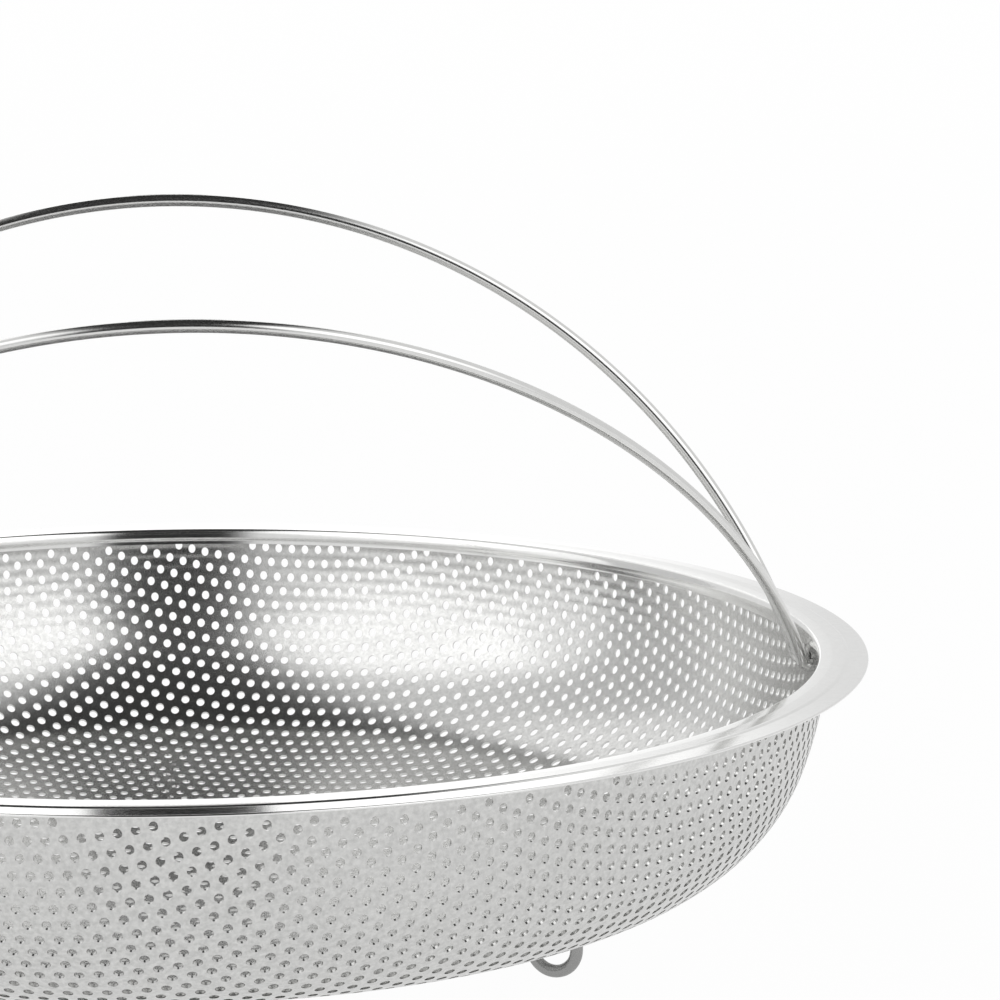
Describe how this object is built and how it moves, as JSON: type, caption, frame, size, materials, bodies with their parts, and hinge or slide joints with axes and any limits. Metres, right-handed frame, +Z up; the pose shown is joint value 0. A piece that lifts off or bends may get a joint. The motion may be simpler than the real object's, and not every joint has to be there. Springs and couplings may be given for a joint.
{
  "type": "steamer basket",
  "caption": "Shallow round perforated steel bowl with a flat rim that rests on a pot, folding wire arch handles and short wire feet.",
  "frame": {"origin": "on the bowl's axis, at the height of the lowest points of the feet", "axes": "+Z up along the bowl's axis, +X towards the handles' pivots on the right, -Y towards the front handle"},
  "size_m": [0.22, 0.22, 0.1177],
  "materials": {
    "satin_sheet_steel": "satin",
    "polished_rim_steel": "polished",
    "polished_wire_steel": "polished"
  },
  "bodies": {
    "basket": {"perforated_bowl": "satin_sheet_steel", "rim_ring": "polished_rim_steel", "foot_1": "polished_wire_steel", "foot_2": "polished_wire_steel", "foot_3": "polished_wire_steel"},
    "front_handle_body": {"front_handle": "polished_wire_steel"},
    "rear_handle_body": {"rear_handle": "polished_wire_steel"}
  },
  "joints": [
    {"name": "front_handle_fold", "type": "hinge", "parent": "basket", "child": "front_handle_body", "pos_m": [0, -0.0024, 0.0421], "axis": [1, 0, 0], "range_deg": [-35.1, 76.9]},
    {"name": "rear_handle_fold", "type": "hinge", "parent": "basket", "child": "rear_handle_body", "pos_m": [0, 0.0024, 0.0421], "axis": [-1, 0, 0], "range_deg": [-12.9, 99.1]}
  ]
}
